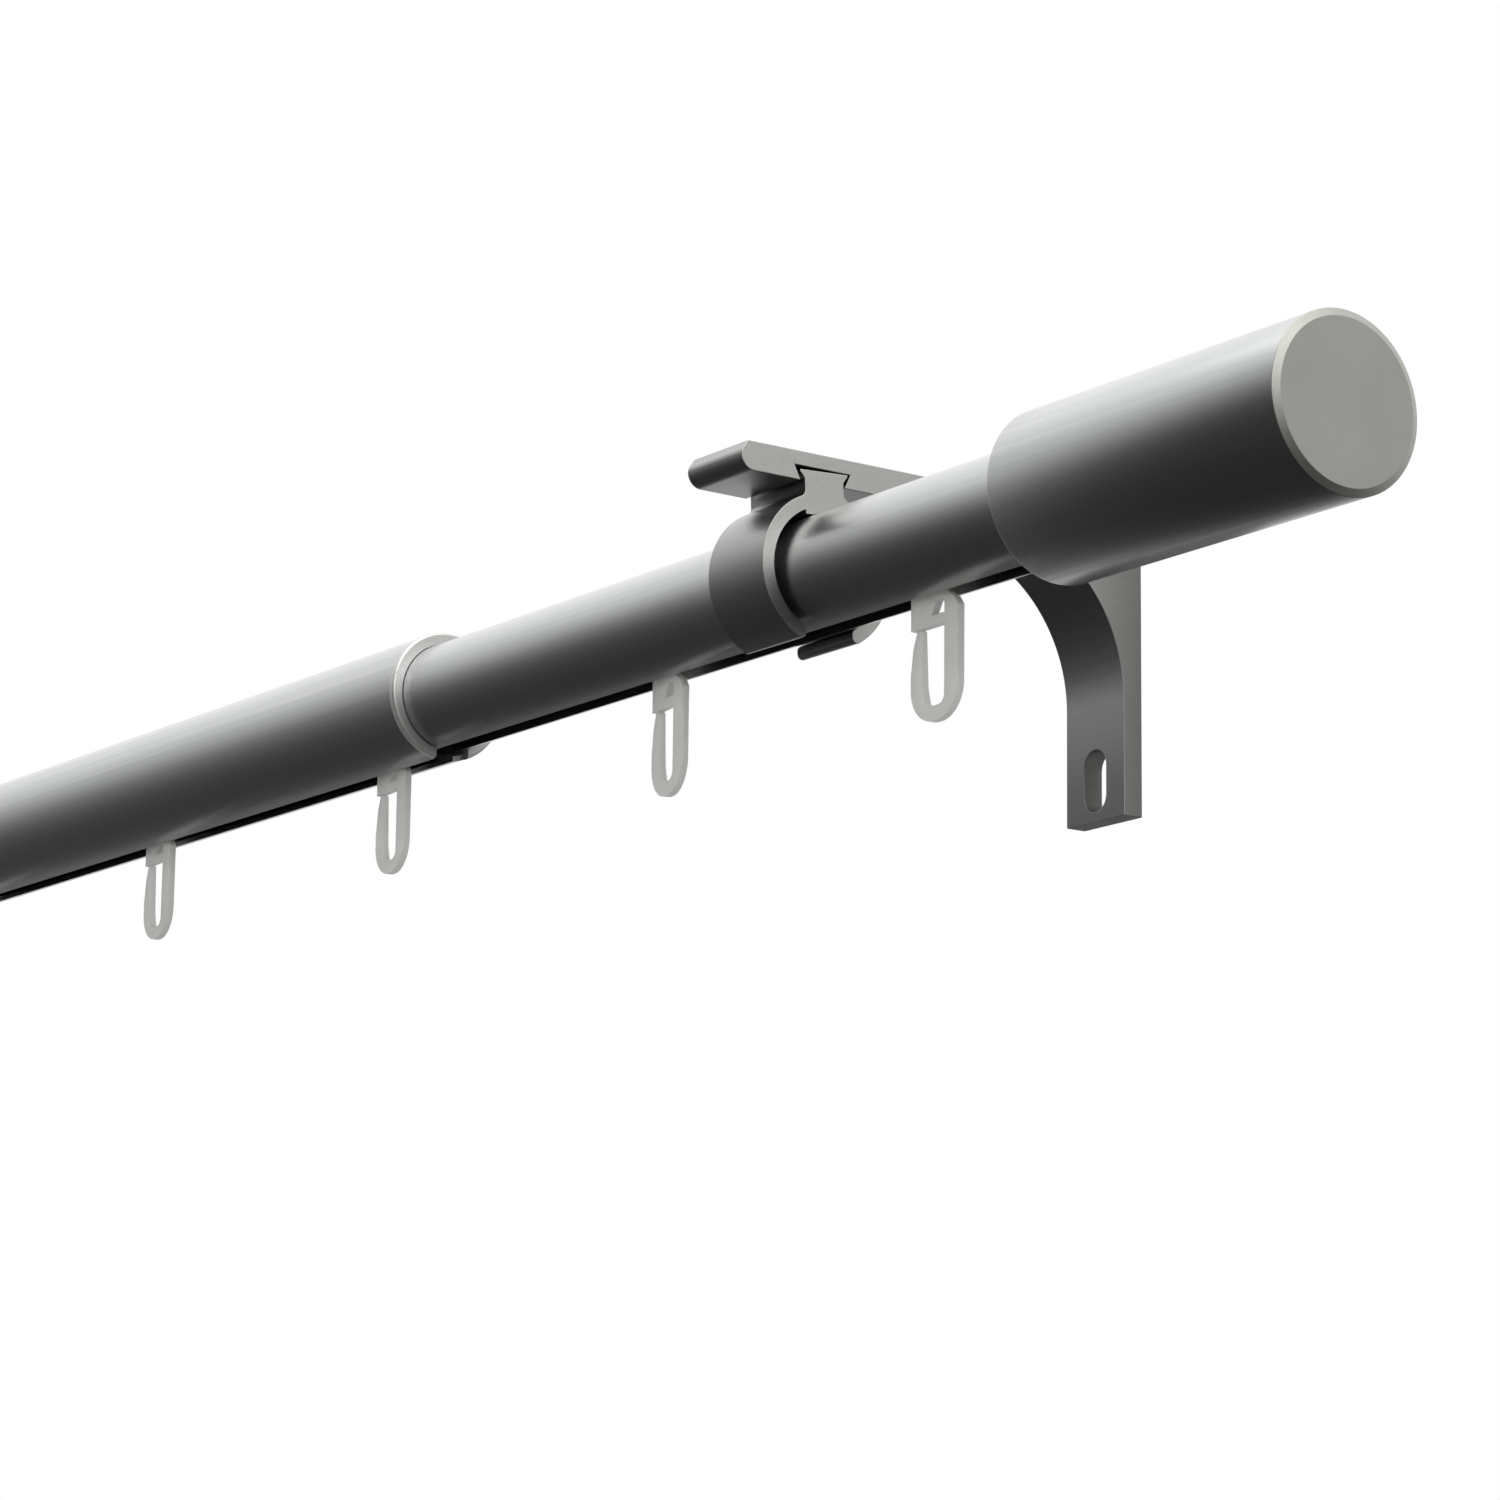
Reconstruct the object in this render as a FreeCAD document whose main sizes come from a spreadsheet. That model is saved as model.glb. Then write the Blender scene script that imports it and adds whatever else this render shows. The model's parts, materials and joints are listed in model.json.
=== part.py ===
"""Telescopic curtain rod with an inner track, its two wall brackets and ten gliders.

Millimetres. The origin is on the wall face of the right bracket, at the middle of
its width and at the height of the rod's axis. +X runs along the rod towards the
right finial, +Y points into the wall and +Z is up.
"""
import FreeCAD, Part
import os
import Sketcher
from FreeCAD import Placement, Rotation, Vector

SIZES = [
    ("rod_standoff", 67.0, "wall face to the rod's axis"),
    ("slot_width", 4.0, "slot along the bottom of both tubes"),
    ("running_gap", 0.1, "play between pieces that slide on each other"),
    ("push_gap", 0.05, "play between pieces that are pushed together"),
    ("inner_tube_radius", 10.0, "outside"),
    ("inner_tube_wall", 1.0, "thickness"),
    ("inner_tube_length", 640.0, "most of it lies inside the outer tube"),
    ("inner_tube_drop", 0.3, "its axis below the outer tube's"),
    ("track_depth", 7.6, "its axis down to the two runways of the track"),
    ("outer_tube_radius", 12.0, "outside"),
    ("outer_tube_wall", 1.0, "thickness"),
    ("outer_tube_length", 620.0, "left end to the collar"),
    ("collar_place", 110.9, "right bracket's middle to the collar's free face"),
    ("collar_length", 1.4, "the part that shows"),
    ("collar_radius", 12.05, "outside"),
    ("collar_spigot_length", 10.0, "the part inside the outer tube"),
    ("collar_gap_front", 2.4, "axis to the collar's front end"),
    ("collar_gap_rear", 4.5, "axis to the collar's rear end"),
    ("collar_rounding", 0.5, "outer edge"),
    ("cut_overrun", 1.0, "how far a slot's cutter passes the outside"),
    ("finial_radius", 14.2, "outside"),
    ("finial_length", 66.9, "inner end to the disc's face"),
    ("finial_overhang", 67.6, "bracket's middle to the finial's inner end"),
    ("finial_grip", 32.0, "length of rod inside the finial"),
    ("finial_bevel", 0.3, "edge of the sleeve's inner end"),
    ("sleeve_wall", 1.5, "thickness"),
    ("adapter_recess", 0.6, "adapter's face inside the sleeve's mouth"),
    ("adapter_web", 3.0, "closed end of the adapter"),
    ("disc_thickness", 0.7, "flange that shows"),
    ("disc_bevel_depth", 0.5, "slanted rim of the face, along the rod"),
    ("disc_bevel_reach", 1.25, "slanted rim of the face, across it"),
    ("disc_spigot_length", 8.0, "inside the sleeve"),
    ("disc_spigot_wall", 1.6, "thickness"),
    ("bracket_width", 15.6, "along the rod"),
    ("plate_thickness", 4.0, "wall plate"),
    ("plate_drop", 33.1, "axis to the plate's lower end"),
    ("arm_thickness", 5.0, "flat arm"),
    ("arm_rise", 19.7, "axis to the arm's top"),
    ("arm_reach", 85.3, "wall face to the nose"),
    ("elbow_radius", 27.0, "inside curve from plate to arm"),
    ("nose_bevel_reach", 1.3, "slanted top of the nose, along the arm"),
    ("nose_bevel_drop", 1.9, "slanted top of the nose, downwards"),
    ("nose_rounding", 2.6, "lower edge of the nose"),
    ("nose_softening", 1.5, "upper edge of the nose"),
    ("nose_flat", 0.6, "flat kept between the two roundings"),
    ("screw_slot_width", 5.8, "for one wall screw"),
    ("screw_slot_length", 11.0, "end to end"),
    ("screw_slot_margin", 1.7, "metal below the slot"),
    ("groove_lead", 1.75, "groove's middle ahead of the rod's axis"),
    ("groove_mouth", 9.0, "at the arm's underside"),
    ("groove_ceiling", 11.5, "at its top"),
    ("groove_depth", 2.5, "into the arm"),
    ("ring_slack", 0.8, "bore's radius less the tube's"),
    ("right_ring_wall", 2.4, "thickness"),
    ("left_ring_wall", 1.5, "thickness of the ring for the larger tube"),
    ("ring_lead", 0.6, "ring's middle ahead of the rod's axis"),
    ("ring_opening", 9.4, "between the two lips"),
    ("ring_tilt", 3.0, "degrees, the head leaning into the room"),
    ("lip_rounding", 0.42, "edges of the lips, as a share of the ring's wall"),
    ("seat_depth", 1.5, "how far the seat's block starts below the bore's top"),
    ("neck_width", 8.0, "between ring and head, and the seat on the tube"),
    ("neck_fillet", 1.2, "neck into ring"),
    ("neck_fillet_share", 0.7, "its most, as a share of the room under the arm"),
    ("head_width", 9.8, "wide top of the head"),
    ("head_rise", 16.85, "ring's middle to the head's top"),
    ("head_edge", 0.35, "upright edge of the head"),
    ("head_flank", 1.1, "height of the sloping side"),
    ("glider_width", 12.4, "loop, along the rod"),
    ("glider_thickness", 1.4, "flat plate"),
    ("glider_drop", 22.75, "runway to the bottom of the loop"),
    ("glider_rounding", 5.9, "bottom corners of the loop"),
    ("block_drop", 7.05, "runway to the underside of the block"),
    ("neck_reach", 2.2, "right edge of the neck"),
    ("neck_drop", 1.35, "where the shoulder starts"),
    ("shoulder_reach", 5.2, "corner of the shoulder"),
    ("shoulder_drop", 3.15, "corner of the shoulder"),
    ("shoulder_end", 4.55, "where the stem is upright"),
    ("stem_width", 3.5, "upright side of the loop"),
    ("arm_tip_reach", 4.45, "outer edge of the arm's free end"),
    ("arm_tip_width", 0.75, "thickness of the arm's free end"),
    ("arm_bow_reach", 5.55, "outer edge of the arm part way down"),
    ("arm_bow_drop", 10.15, "height of that point"),
    ("arm_full_drop", 14.45, "where the arm reaches its full reach"),
    ("snap_gap", 0.2, "arm's free end under the block"),
    ("eye_waist_reach", 3.2, "arm's inner edge at the waist"),
    ("eye_waist_drop", 16.85, "height of that point"),
    ("eye_foot_reach", 2.3, "arm's inner edge at the foot"),
    ("eye_drop", 20.25, "runway to the bottom of the eye"),
    ("eye_rounding", 1.6, "bottom corners of the eye"),
    ("window_reach", 0.8, "small window in the block, left end"),
    ("window_peak", 0.6, "small window, slanted corner"),
    ("window_top", 2.95, "runway to its top"),
    ("window_height", 2.4, "downwards"),
    ("glider_head_width", 7.2, "bar that runs in the track, across"),
    ("glider_head_height", 1.6, "bar"),
]

# Where each glider stands along the rod, measured from the piece named with it, and its
# small turn about the upright axis in degrees.
GLIDERS = [
    ("glider_01", "right_bracket", 37.0, -0.6),
    ("glider_02", "right_bracket", -38.4, -10.4),
    ("glider_03", "right_bracket", -129.5, -6.5),
    ("glider_04", "right_bracket", -219.4, -6.0),
    ("glider_05", "inner_tube", 237.0, -3.0),
    ("glider_06", "inner_tube", 161.0, -5.0),
    ("glider_07", "inner_tube", 94.0, 2.0),
    ("glider_08", "inner_tube", 25.0, -2.0),
    ("glider_09", "left_finial", 78.0, 0.0),
    ("glider_10", "left_finial", 27.0, 0.0),
]

doc = FreeCAD.newDocument("curtain_rod")
sheet = doc.addObject("Spreadsheet::Sheet", "sizes")
for glider, start, distance, degrees in GLIDERS:
    SIZES.append((glider + "_place", distance, "along the rod from the " + start))
    SIZES.append((glider + "_turn", degrees, "degrees"))
for row, (name, value, meaning) in enumerate(SIZES, start=1):
    sheet.set(f"A{row}", name)
    sheet.set(f"B{row}", str(value))
    sheet.set(f"C{row}", meaning)
    sheet.setAlias(f"B{row}", name)
doc.recompute()

# Distances that follow from the driving sizes.
INNER_BORE = "(sizes.inner_tube_radius - sizes.inner_tube_wall)"
OUTER_BORE = "(sizes.outer_tube_radius - sizes.outer_tube_wall)"
SLEEVE_BORE = "(sizes.finial_radius - sizes.sleeve_wall)"
OUTER_TUBE_START = "-(sizes.collar_place + sizes.collar_length + sizes.outer_tube_length)"
OUTER_TUBE_END = "-(sizes.collar_place + sizes.collar_length)"
RIGHT_FINIAL = "sizes.finial_overhang"
LEFT_FINIAL = f"({OUTER_TUBE_START} + sizes.finial_grip)"
LEFT_BRACKET = f"({LEFT_FINIAL} + sizes.finial_overhang)"
INNER_TUBE_START = f"({RIGHT_FINIAL} + sizes.finial_grip - sizes.inner_tube_length)"
SLEEVE_LENGTH = "(sizes.finial_length - sizes.disc_thickness)"
ARM_UNDERSIDE = "(sizes.arm_rise - sizes.arm_thickness)"
ROD_Y = "-sizes.rod_standoff"
INNER_DROP = "sizes.inner_tube_drop"
GLIDER_STARTS = {"right_bracket": "0", "inner_tube": INNER_TUBE_START, "left_finial": LEFT_FINIAL}

gauge = doc.addObject("Part::Feature", "gauge")


def number(expression):
    """The present value of an expression in the sheet's names."""
    return float(gauge.evalExpression(expression))


def new_body(label):
    """A body whose label is the name of its node."""
    body = doc.addObject("PartDesign::Body", label)
    body.Label = label
    return body


def place(piece, along=None, across=None, up=None, turn=None, axis=Vector(0, 0, 1)):
    """Put a piece in the rod's frame by expressions, turned about one axis."""
    if turn is not None:
        piece.Placement = Placement(Vector(), Rotation(axis, number(turn)))
        piece.setExpression("Placement.Rotation.Angle", turn)
    if along is not None:
        piece.setExpression("Placement.Base.x", along)
    if across is not None:
        piece.setExpression("Placement.Base.y", across)
    if up is not None:
        piece.setExpression("Placement.Base.z", up)


def new_sketch(body, name, plane):
    """An empty sketch on one of the body's own planes."""
    sketch = body.newObject("Sketcher::SketchObject", f"{body.Name}_{name}")
    base = [item for item in body.Origin.OriginFeatures if item.Role == plane][0]
    sketch.AttachmentSupport = [(base, "")]
    sketch.MapMode = "FlatFace"
    return sketch


def bind(sketch, constraint, expression):
    """Add a dimension and tie it to the sheet."""
    index = sketch.addConstraint(constraint)
    sketch.setExpression(f"Constraints[{index}]", expression)


def polygon(body, name, plane, corners):
    """A closed outline, each corner a pair of expressions across and up the plane."""
    sketch = new_sketch(body, name, plane)
    points = [Vector(number(across), number(up), 0) for across, up in corners]
    count = len(points)
    for index in range(count):
        sketch.addGeometry(Part.LineSegment(points[index], points[(index + 1) % count]), False)
    for index in range(count):
        sketch.addConstraint(Sketcher.Constraint("Coincident", index, 2, (index + 1) % count, 1))
    for index, (across, up) in enumerate(corners):
        bind(sketch, Sketcher.Constraint("DistanceX", index, 1, points[index].x), across)
        bind(sketch, Sketcher.Constraint("DistanceY", index, 1, points[index].y), up)
    return sketch


def circles(body, name, plane, rounds):
    """Circles, each a radius and how far its middle lies across and up the plane."""
    sketch = new_sketch(body, name, plane)
    for index, (radius, across, up) in enumerate(rounds):
        middle = Vector(number(across), number(up), 0)
        sketch.addGeometry(Part.Circle(middle, Vector(0, 0, 1), number(radius)), False)
        bind(sketch, Sketcher.Constraint("Radius", index, number(radius)), radius)
        bind(sketch, Sketcher.Constraint("DistanceX", index, 3, middle.x), across)
        bind(sketch, Sketcher.Constraint("DistanceY", index, 3, middle.y), up)
    return sketch


def pad(body, name, sketch, length, side="One side", reverse=False):
    """Raise a sketch by a bound length."""
    feature = body.newObject("PartDesign::Pad", f"{body.Name}_{name}")
    feature.Profile = sketch
    feature.setExpression("Length", length)
    feature.SideType = side
    feature.Reversed = reverse
    doc.recompute()
    return feature


def cut_through(body, name, sketch):
    """Cut a sketch right through the body, both ways from its plane."""
    before = body.Shape.Volume
    feature = body.newObject("PartDesign::Pocket", f"{body.Name}_{name}")
    feature.Profile = sketch
    feature.Type = "ThroughAll"
    feature.SideType = "Symmetric"
    doc.recompute()
    if body.Shape.Volume >= before:
        raise RuntimeError(f"{feature.Name} removes nothing")
    return feature


def cut_to(body, name, sketch, length, reverse):
    """Cut a sketch to a bound depth on one side of its plane."""
    before = body.Shape.Volume
    feature = body.newObject("PartDesign::Pocket", f"{body.Name}_{name}")
    feature.Profile = sketch
    feature.setExpression("Length", length)
    feature.Reversed = reverse
    doc.recompute()
    if body.Shape.Volume >= before:
        raise RuntimeError(f"{feature.Name} removes nothing")
    return feature


def straight_edges(shape, direction, spots):
    """Names of the straight edges along a direction that pass through given spots."""
    names = []
    for index, edge in enumerate(shape.Edges, start=1):
        if not isinstance(edge.Curve, Part.Line):
            continue
        start = edge.Vertexes[0].Point
        if abs(abs(edge.Curve.Direction.dot(direction)) - 1) > 1e-6:
            continue
        for spot in spots:
            offset = start - spot
            if (offset - direction * offset.dot(direction)).Length < 1e-4:
                names.append(f"Edge{index}")
    return names


def round_edges(shape, radius, along):
    """Names of the round edges of one radius about the X axis at one place along it."""
    names = []
    for index, edge in enumerate(shape.Edges, start=1):
        if not isinstance(edge.Curve, Part.Circle):
            continue
        if abs(edge.Curve.Radius - radius) < 1e-4 and abs(edge.Curve.Center.x - along) < 1e-4:
            names.append(f"Edge{index}")
    return names


def fillet(body, name, edges, radius):
    """Round named edges of the body's tip by a bound radius."""
    feature = body.newObject("PartDesign::Fillet", f"{body.Name}_{name}")
    feature.Base = (feature.BaseFeature, edges)
    feature.setExpression("Radius", radius)
    doc.recompute()
    return feature


def bevel(body, name, edges, size, reach=None):
    """Bevel named edges of the body's tip, evenly or with a second size across the end."""
    feature = body.newObject("PartDesign::Chamfer", f"{body.Name}_{name}")
    feature.Base = (feature.BaseFeature, edges)
    feature.setExpression("Size", size)
    if reach is not None:
        feature.ChamferType = "Two distances"
        feature.setExpression("Size2", reach)
    doc.recompute()
    return feature


def slot_opening(body, bore, radius):
    """The lengthwise slot through the bottom wall of a tube."""
    half = "sizes.slot_width / 2"
    below = f"-({radius} + sizes.cut_overrun)"
    inside = f"-({bore} / 2)"
    corners = [(f"-{half}", below), (half, below), (half, inside), (f"-{half}", inside)]
    return polygon(body, "slot_outline", "YZ_Plane", corners)


def make_outer_tube():
    """Larger tube, a plain round wall with the slot along its bottom."""
    body = new_body("outer_tube")
    wall = circles(body, "wall", "YZ_Plane",
                   [("sizes.outer_tube_radius", "0", "0"), (OUTER_BORE, "0", "0")])
    pad(body, "length", wall, "sizes.outer_tube_length")
    cut_through(body, "slot", slot_opening(body, OUTER_BORE, "sizes.outer_tube_radius"))
    place(body, along=OUTER_TUBE_START, across=ROD_Y)


def make_inner_tube():
    """Smaller tube, whose hollow has a flat floor either side of the slot."""
    body = new_body("inner_tube")
    outside = circles(body, "outside", "YZ_Plane", [("sizes.inner_tube_radius", "0", "0")])
    pad(body, "length", outside, "sizes.inner_tube_length")
    hollow = new_sketch(body, "hollow", "YZ_Plane")
    radius = number(INNER_BORE)
    floor = number("sizes.track_depth")
    half = (radius ** 2 - floor ** 2) ** 0.5
    right = Vector(half, -floor, 0)
    left = Vector(-half, -floor, 0)
    hollow.addGeometry(Part.Arc(right, Vector(0, radius, 0), left), False)
    hollow.addGeometry(Part.LineSegment(left, right), False)
    hollow.addConstraint(Sketcher.Constraint("Coincident", 0, 3, -1, 1))
    hollow.addConstraint(Sketcher.Constraint("Coincident", 0, 2, 1, 1))
    hollow.addConstraint(Sketcher.Constraint("Coincident", 0, 1, 1, 2))
    bind(hollow, Sketcher.Constraint("Radius", 0, radius), INNER_BORE)
    bind(hollow, Sketcher.Constraint("DistanceY", 1, 1, -floor), "-sizes.track_depth")
    bind(hollow, Sketcher.Constraint("DistanceY", 1, 2, -floor), "-sizes.track_depth")
    cut_through(body, "bore", hollow)
    cut_through(body, "slot", slot_opening(body, INNER_BORE, "sizes.inner_tube_radius"))
    place(body, along=INNER_TUBE_START, across=ROD_Y, up=f"-{INNER_DROP}")


def make_collar():
    """Open plastic collar, its flange over the tube's end and its spigot inside."""
    body = new_body("coupling_collar")
    bore = ("(sizes.inner_tube_radius + sizes.running_gap)", "0", f"-{INNER_DROP}")
    flange = circles(body, "flange", "YZ_Plane", [("sizes.collar_radius", "0", "0"), bore])
    pad(body, "flange_length", flange, "sizes.collar_length")
    spigot = circles(body, "spigot", "YZ_Plane", [(OUTER_BORE, "0", "0"), bore])
    pad(body, "spigot_length", spigot, "sizes.collar_spigot_length", reverse=True)
    rim = round_edges(body.Shape, number("sizes.collar_radius"), number("sizes.collar_length"))
    fillet(body, "rim", rim, "sizes.collar_rounding")
    below = "-(sizes.collar_radius + sizes.cut_overrun)"
    inside = "-(sizes.inner_tube_radius / 2)"
    front = "-sizes.collar_gap_front"
    rear = "sizes.collar_gap_rear"
    gap = polygon(body, "gap_outline", "YZ_Plane",
                  [(front, below), (rear, below), (rear, inside), (front, inside)])
    cut_through(body, "gap", gap)
    place(body, along=OUTER_TUBE_END, across=ROD_Y)


def make_finial(side, along, tube_radius, tube_drop, turn):
    """Sleeve, end disc and adapter of one finial, its inner end at the given place."""
    sleeve = new_body(f"{side}_finial_sleeve")
    outside = ("sizes.finial_radius", "0", "0")
    wall = circles(sleeve, "wall", "YZ_Plane", [outside, (SLEEVE_BORE, "0", "0")])
    pad(sleeve, "length", wall, SLEEVE_LENGTH)
    mouth = round_edges(sleeve.Shape, number("sizes.finial_radius"), 0)
    bevel(sleeve, "mouth", mouth, "sizes.finial_bevel")
    place(sleeve, along=along, across=ROD_Y, turn=turn)

    adapter = new_body(f"{side}_finial_adapter")
    plug = (f"({SLEEVE_BORE} - sizes.push_gap)", "0", "0")
    grip = "(sizes.finial_grip - sizes.adapter_recess)"
    body_end = f"({grip} + sizes.adapter_web)"
    pad(adapter, "length", circles(adapter, "outside", "YZ_Plane", [plug]), body_end)
    hold = (f"({tube_radius} + sizes.push_gap)", "0", f"-{tube_drop}")
    bore = circles(adapter, "bore_outline", "YZ_Plane", [hold])
    cut_to(adapter, "bore", bore, grip, reverse=True)

    disc = new_body(f"{side}_finial_disc")
    pad(disc, "flange", circles(disc, "face", "YZ_Plane", [outside]), "sizes.disc_thickness")
    hollow = (f"({plug[0]} - sizes.disc_spigot_wall)", "0", "0")
    spigot = circles(disc, "spigot", "YZ_Plane", [plug, hollow])
    pad(disc, "spigot_length", spigot, "sizes.disc_spigot_length", reverse=True)
    rim = round_edges(disc.Shape, number("sizes.finial_radius"), number("sizes.disc_thickness"))
    bevel(disc, "rim", rim, "sizes.disc_bevel_depth", "sizes.disc_bevel_reach")

    sign = "-" if number(turn) else "+"
    place(adapter, along=f"{along} {sign} sizes.adapter_recess", across=ROD_Y, turn=turn)
    place(disc, along=f"{along} {sign} {SLEEVE_LENGTH}", across=ROD_Y, turn=turn)


def make_bracket(side, along):
    """Wall bracket, a slice of one extruded section: plate, elbow, arm and groove."""
    body = new_body(f"{side}_bracket")
    reach = "-sizes.arm_reach"
    outline = polygon(body, "outline", "YZ_Plane", [
        ("0", "sizes.arm_rise"),
        ("0", "-sizes.plate_drop"),
        ("-sizes.plate_thickness", "-sizes.plate_drop"),
        ("-sizes.plate_thickness", ARM_UNDERSIDE),
        (reach, ARM_UNDERSIDE),
        (reach, "sizes.arm_rise - sizes.nose_bevel_drop"),
        (f"{reach} + sizes.nose_bevel_reach", "sizes.arm_rise"),
    ])
    pad(body, "width", outline, "sizes.bracket_width", side="Symmetric")
    underside = number(ARM_UNDERSIDE)
    nose = number(reach)
    elbow = [Vector(0, -number("sizes.plate_thickness"), underside)]
    fillet(body, "elbow", straight_edges(body.Shape, Vector(1, 0, 0), elbow), "sizes.elbow_radius")
    low = [Vector(0, nose, underside)]
    fillet(body, "nose_low", straight_edges(body.Shape, Vector(1, 0, 0), low), "sizes.nose_rounding")
    high = [Vector(0, nose, number("sizes.arm_rise - sizes.nose_bevel_drop"))]
    fillet(body, "nose_high", straight_edges(body.Shape, Vector(1, 0, 0), high),
           "min(sizes.nose_softening; sizes.arm_thickness - sizes.nose_rounding - sizes.nose_flat)")

    middle = "-(sizes.rod_standoff + sizes.groove_lead)"
    mouth = "sizes.groove_mouth / 2"
    ceiling = "sizes.groove_ceiling / 2"
    below = f"({ARM_UNDERSIDE} - sizes.groove_depth)"
    top = f"({ARM_UNDERSIDE} + sizes.groove_depth)"
    groove = polygon(body, "groove_outline", "YZ_Plane", [
        (f"{middle} - {mouth}", below),
        (f"{middle} + {mouth}", below),
        (f"{middle} + {mouth}", ARM_UNDERSIDE),
        (f"{middle} + {ceiling}", top),
        (f"{middle} - {ceiling}", top),
        (f"{middle} - {mouth}", ARM_UNDERSIDE),
    ])
    cut_through(body, "groove", groove)
    cut_through(body, "screw_slot", screw_slot_outline(body))
    place(body, along=along)


def screw_slot_outline(body):
    """Upright slot with round ends near the plate's lower end."""
    sketch = new_sketch(body, "screw_slot_outline", "XZ_Plane")
    radius = "sizes.screw_slot_width / 2"
    low = f"-sizes.plate_drop + sizes.screw_slot_margin + {radius}"
    high = f"{low} + sizes.screw_slot_length - sizes.screw_slot_width"
    half = number(radius)
    bottom = number(low)
    top = number(high)
    sketch.addGeometry(Part.Arc(Vector(half, top, 0), Vector(0, top + half, 0), Vector(-half, top, 0)),
                       False)
    sketch.addGeometry(Part.LineSegment(Vector(-half, top, 0), Vector(-half, bottom, 0)), False)
    sketch.addGeometry(Part.Arc(Vector(-half, bottom, 0), Vector(0, bottom - half, 0),
                                Vector(half, bottom, 0)), False)
    sketch.addGeometry(Part.LineSegment(Vector(half, bottom, 0), Vector(half, top, 0)), False)
    for index in range(4):
        sketch.addConstraint(Sketcher.Constraint("Tangent", index, 2, (index + 1) % 4, 1))
    bind(sketch, Sketcher.Constraint("Radius", 0, half), radius)
    for index, height in ((0, high), (2, low)):
        sketch.addConstraint(Sketcher.Constraint("PointOnObject", index, 3, -2))
        bind(sketch, Sketcher.Constraint("DistanceY", index, 3, number(height)), height)
    return sketch


def make_ring(side, along, tube_radius, tube_drop):
    """Open ring around the rod: a neck and a head for the bracket's groove, and a seat
    under the neck that rests on the tube."""
    body = new_body(f"{side}_ring")
    wall = f"sizes.{side}_ring_wall"
    bore = f"({tube_radius} + sizes.ring_slack)"
    outside = f"({bore} + {wall})"
    pad(body, "width", circles(body, "outside", "YZ_Plane", [(outside, "0", "0")]),
        "sizes.bracket_width", side="Symmetric")
    neck = "sizes.neck_width / 2"
    head = "sizes.head_width / 2"
    shoulder = "sizes.head_rise - sizes.head_edge"
    stem = polygon(body, "stem", "YZ_Plane", [
        (f"-{neck}", bore),
        (neck, bore),
        (neck, f"{shoulder} - sizes.head_flank"),
        (head, shoulder),
        (head, "sizes.head_rise"),
        (f"-{head}", "sizes.head_rise"),
        (f"-{head}", shoulder),
        (f"-{neck}", f"{shoulder} - sizes.head_flank"),
    ])
    pad(body, "stem_width", stem, "sizes.bracket_width", side="Symmetric")
    half = number(neck)
    root = (number(outside) ** 2 - half ** 2) ** 0.5
    spots = [Vector(0, half, root), Vector(0, -half, root)]
    room = f"({ARM_UNDERSIDE} - sqrt(pow({outside}; 2) - pow({neck}; 2)))"
    fillet(body, "root", straight_edges(body.Shape, Vector(1, 0, 0), spots),
           f"min(sizes.neck_fillet; sizes.neck_fillet_share * {room})")
    cut_through(body, "bore", circles(body, "bore_outline", "YZ_Plane", [(bore, "0", "0")]))
    gap = "sizes.ring_opening / 2"
    below = f"-({outside} + sizes.cut_overrun)"
    inside = f"-({bore} / 2)"
    mouth = polygon(body, "mouth_outline", "YZ_Plane",
                    [(f"-{gap}", below), (gap, below), (gap, inside), (f"-{gap}", inside)])
    cut_through(body, "mouth", mouth)
    reach = number(gap)
    tips = []
    for radius in (number(outside), number(bore)):
        lip = -((radius ** 2 - reach ** 2) ** 0.5)
        tips += [Vector(0, reach, lip), Vector(0, -reach, lip)]
    fillet(body, "lips", straight_edges(body.Shape, Vector(1, 0, 0), tips),
           f"sizes.lip_rounding * {wall}")

    low = f"{bore} - sizes.seat_depth"
    high = f"{bore} + {wall} / 2"
    seat = polygon(body, "seat_outline", "YZ_Plane",
                   [(f"-{neck}", low), (neck, low), (neck, high), (f"-{neck}", high)])
    pad(body, "seat", seat, "sizes.bracket_width", side="Symmetric")
    lean = "sizes.ring_tilt"
    tube_across = f"sizes.ring_lead * cos({lean}) - {tube_drop} * sin({lean})"
    tube_up = f"-(sizes.ring_lead * sin({lean}) + {tube_drop} * cos({lean}))"
    rest = (f"({tube_radius} + sizes.running_gap)", tube_across, tube_up)
    cut_through(body, "seat_curve", circles(body, "seat_curve_outline", "YZ_Plane", [rest]))
    place(body, along=along, across="-(sizes.rod_standoff + sizes.ring_lead)",
          turn=lean, axis=Vector(1, 0, 0))


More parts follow.
